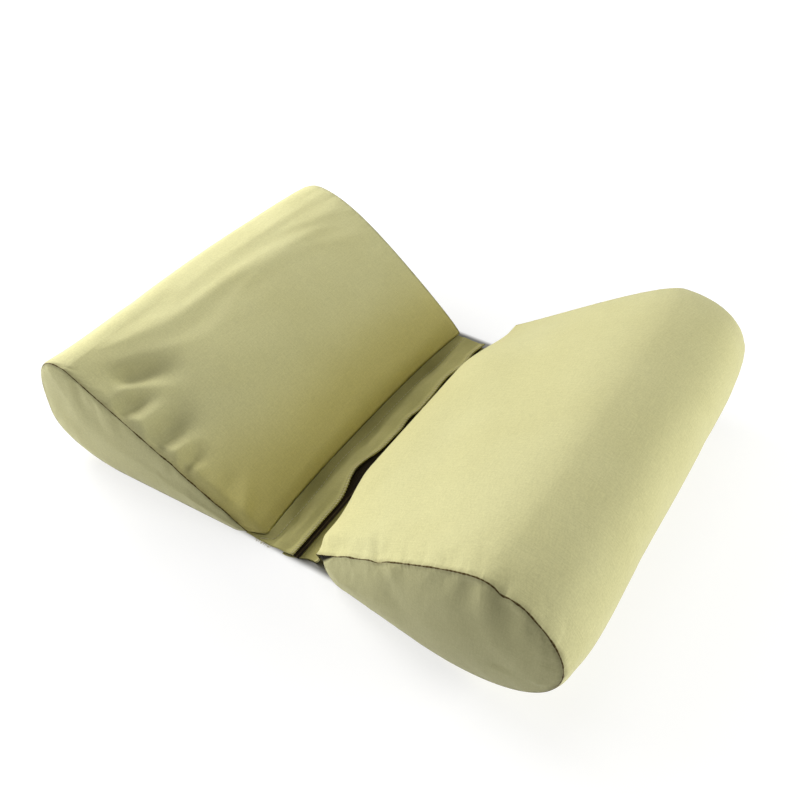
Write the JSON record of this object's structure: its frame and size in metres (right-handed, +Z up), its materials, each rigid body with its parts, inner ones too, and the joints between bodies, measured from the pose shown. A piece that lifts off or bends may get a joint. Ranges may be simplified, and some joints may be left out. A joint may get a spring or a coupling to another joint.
{
  "type": "baby posing pillow",
  "caption": "Filled cloth wedges set tip to tip and joined by overlapping fabric flaps with a hook strip, forming a soft trough that cradles a lying baby.",
  "frame": {"origin": "on the resting surface, under the middle of the whole pillow's bounding box", "axes": "+X across both wedges towards the right one, +Y along them towards the back, +Z up"},
  "size_m": [0.434, 0.3226, 0.1148],
  "materials": {
    "wedge_cloth": "smooth plain-woven sage cloth, matt with a faint sheen",
    "flap_cloth": "the same sage cloth, doubled and topstitched",
    "hook_tape": "dark brown hook tape, dull and bristly"
  },
  "bodies": {
    "root": {"left_wedge": "wedge_cloth", "right_wedge": "wedge_cloth", "left_flap": "flap_cloth", "right_flap": "flap_cloth", "hook_strip": "hook_tape"}
  },
  "joints": []
}
